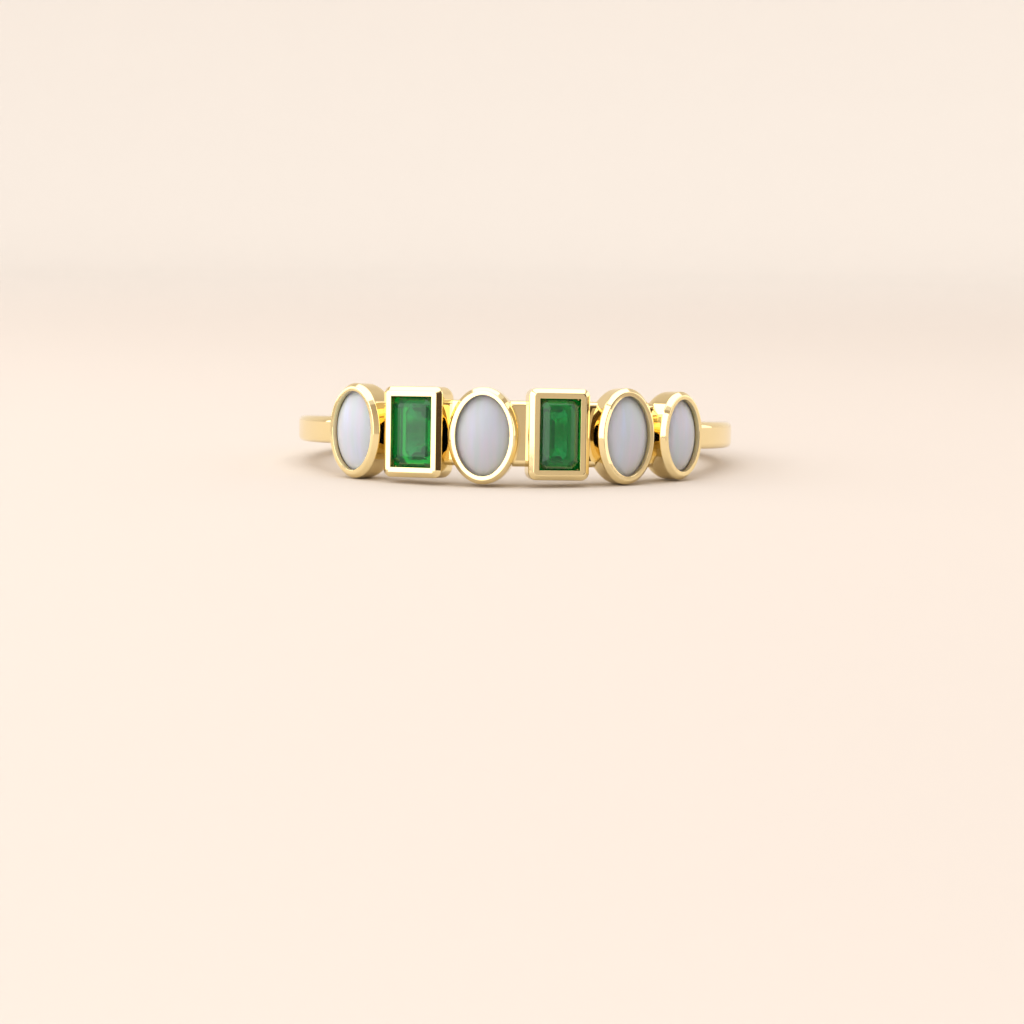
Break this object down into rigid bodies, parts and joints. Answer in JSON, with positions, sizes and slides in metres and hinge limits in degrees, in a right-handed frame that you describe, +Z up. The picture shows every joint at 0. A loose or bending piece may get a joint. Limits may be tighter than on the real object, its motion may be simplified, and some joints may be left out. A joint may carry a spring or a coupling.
{
  "type": "stackable ring",
  "caption": "Slim yellow gold stacking ring with a row of oval opals and emerald-cut green stones, each in a polished bezel.",
  "frame": {"origin": "middle of the footprint of the ring as it lies on its side, on the surface that it rests on", "axes": "+Z up, within 5 degrees of the finger axis; -Y towards the stones; +X towards the smallest opal's end of the row"},
  "size_m": [0.0202, 0.0206, 0.0042],
  "materials": {
    "gold": "polished",
    "opal": "polished",
    "emerald": "polished"
  },
  "bodies": {
    "root": {"setting": "gold", "opal_1": "opal", "emerald_1": "emerald", "opal_2": "opal", "emerald_2": "emerald", "opal_3": "opal", "opal_4": "opal"}
  },
  "joints": []
}
